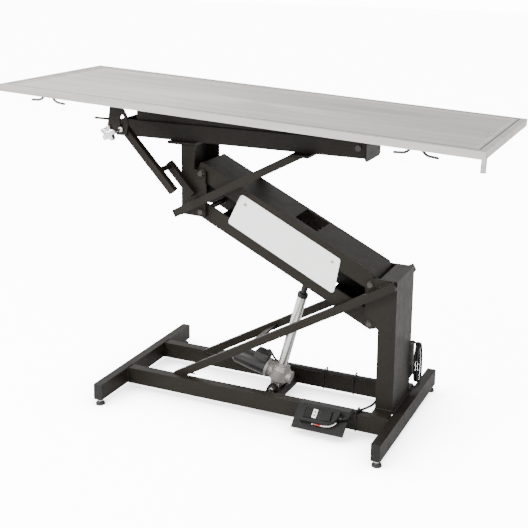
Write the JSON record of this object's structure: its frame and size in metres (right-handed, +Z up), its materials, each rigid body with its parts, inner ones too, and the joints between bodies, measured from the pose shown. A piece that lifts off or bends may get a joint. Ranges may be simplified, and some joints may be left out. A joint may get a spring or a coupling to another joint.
{
  "type": "grooming table",
  "caption": "Electric grooming table: dark steel parallel-arm lift on an H base, brushed stainless top that tilts towards a drain, foot switch, linear actuator.",
  "frame": {"origin": "on the floor under the middle of the tabletop's box", "axes": "+X runs along the tabletop towards the drain and the column, +Y goes from the foot-switch side to the rear, +Z is up"},
  "size_m": [1.4952, 0.574, 0.9829],
  "materials": {
    "powder_coat": "satin black powder coat",
    "stainless": "fine brushed stainless steel",
    "board": "dark sealed plywood",
    "black_plastic": "moulded black plastic, low gloss",
    "rubber_pad": "black rubber pad on a zinc-plated stud",
    "cable_black": "soft black cable jacket",
    "dark_bolt": "black oxide bolt",
    "bright_pin": "turned steel",
    "bush_bronze": "plain bronze",
    "bush_dark": "dark graphite-filled plastic",
    "white_panel": "white semi-gloss paint",
    "cleat_black": "gloss black paint",
    "knob_bright": "polished chrome",
    "cast_grey": "cast grey metal, matt",
    "motor_black": "satin black paint",
    "tube_silver": "anodised silver",
    "rod_dark": "dark oxide steel"
  },
  "bodies": {
    "base": {"left_foot_rail": "powder_coat", "right_foot_rail": "powder_coat", "front_side_rail": "powder_coat", "rear_side_rail": "powder_coat", "rail_end_caps": "black_plastic", "actuator_crossmember": "powder_coat", "actuator_base_pin": "bright_pin", "column": "powder_coat", "front_base_brace": "powder_coat", "rear_base_brace": "powder_coat", "brace_crossbar": "powder_coat", "column_pivot_bolts": "dark_bolt", "control_box": "black_plastic", "mains_inlet": "black_plastic", "switch_cable": "cable_black", "motor_cable": "cable_black", "slack_cable": "cable_black", "cable_ties": "cable_black", "switch_tray": "black_plastic", "foot_switch_housing": "black_plastic", "levelling_nuts": "bright_pin"},
    "foot_front_left": {"levelling_foot_1": "rubber_pad"},
    "foot_rear_left": {"levelling_foot_2": "rubber_pad"},
    "foot_front_right": {"levelling_foot_3": "rubber_pad"},
    "foot_rear_right": {"levelling_foot_4": "rubber_pad"},
    "rocker": {"foot_rocker": "black_plastic"},
    "lower_arm_set": {"lower_arm": "powder_coat", "lower_arm_bushes": "bush_dark"},
    "upper_arm_set": {"upper_arm": "powder_coat", "upper_arm_bushes": "bush_dark", "side_panel": "white_panel", "panel_screws": "bright_pin", "actuator_top_pin": "bright_pin"},
    "carriage": {"lift_post": "powder_coat", "top_beam": "powder_coat", "beam_end_plates": "powder_coat", "front_post_brace": "powder_coat", "rear_post_brace": "powder_coat", "post_pivot_bolts": "dark_bolt", "strut_bracket": "powder_coat", "strut_cross_rod": "powder_coat", "clamp_strut": "powder_coat", "tilt_hinge_pin": "dark_bolt"},
    "tilt_top": {"tabletop": "stainless", "deck_board": "board", "tilt_frame": "powder_coat", "tilt_quadrant": "powder_coat", "lift_grip": "powder_coat", "drain_flange": "stainless", "drain_spout": "stainless", "rope_cleats": "cleat_black"},
    "knob": {"tilt_knob": "knob_bright", "knob_stud": "knob_bright"},
    "actuator": {"actuator_gearbox": "cast_grey", "actuator_motor": "motor_black", "actuator_tube": "tube_silver", "actuator_spindle": "bright_pin"},
    "rod": {"actuator_rod": "rod_dark", "lead_nut": "bush_bronze", "rod_end": "rod_dark"}
  },
  "joints": [
    {"name": "lift", "type": "hinge", "parent": "base", "child": "upper_arm_set", "pos_m": [0.398, 0, 0.454], "axis": [0, 1, 0], "range_deg": [-31, 7.75]},
    {"name": "lower_arm_pivot", "type": "hinge", "parent": "base", "child": "lower_arm_set", "pos_m": [0.398, 0, 0.335], "axis": [0, 1, 0], "range_deg": [-31.05, 7.8]},
    {"name": "carriage_level", "type": "hinge", "parent": "upper_arm_set", "child": "carriage", "pos_m": [-0.15178, 0, 0.72512], "axis": [0, 1, 0], "range_deg": [-7.8, 31.05]},
    {"name": "actuator_pivot", "type": "hinge", "parent": "base", "child": "actuator", "pos_m": [0.072, 0, 0.048], "axis": [0, 1, 0], "range_deg": [-1, 2.2]},
    {"name": "rod_slide", "type": "slide", "parent": "actuator", "child": "rod", "axis": [0.2564, 0, 0.9666], "range_m": [-0.12, 0.03]},
    {"name": "tilt", "type": "hinge", "parent": "carriage", "child": "tilt_top", "pos_m": [0.342, 0, 0.846], "axis": [0, 1, 0], "range_deg": [-2.75, 0.15]},
    {"name": "knob_turn", "type": "hinge", "parent": "carriage", "child": "knob", "pos_m": [-0.362, -0.265, 0.862], "axis": [0, 1, 0], "continuous": true},
    {"name": "rocker_tip", "type": "hinge", "parent": "base", "child": "rocker", "pos_m": [0.281, -0.176, 0.05916], "axis": [0, 0.788, 0.6157], "range_deg": [-5, 5], "stiffness_Nm_per_rad": 0.8},
    {"name": "level_front_left", "type": "hinge", "parent": "base", "child": "foot_front_left", "pos_m": [-0.4085, -0.272, 0.01], "axis": [0, 0, 1], "continuous": true},
    {"name": "level_rear_left", "type": "hinge", "parent": "base", "child": "foot_rear_left", "pos_m": [-0.4085, 0.272, 0.01], "axis": [0, 0, 1], "continuous": true},
    {"name": "level_front_right", "type": "hinge", "parent": "base", "child": "foot_front_right", "pos_m": [0.494, -0.272, 0.01], "axis": [0, 0, 1], "continuous": true},
    {"name": "level_rear_right", "type": "hinge", "parent": "base", "child": "foot_rear_right", "pos_m": [0.494, 0.272, 0.01], "axis": [0, 0, 1], "continuous": true}
  ],
  "couplings": [
    {"joint": "lower_arm_pivot", "follows": "lift", "ratio": 1},
    {"joint": "carriage_level", "follows": "lift", "ratio": -1},
    {"joint": "actuator_pivot", "follows": "lift", "ratio": -0.0478},
    {"joint": "rod_slide", "follows": "lift", "m_per_rad": 0.2077}
  ]
}
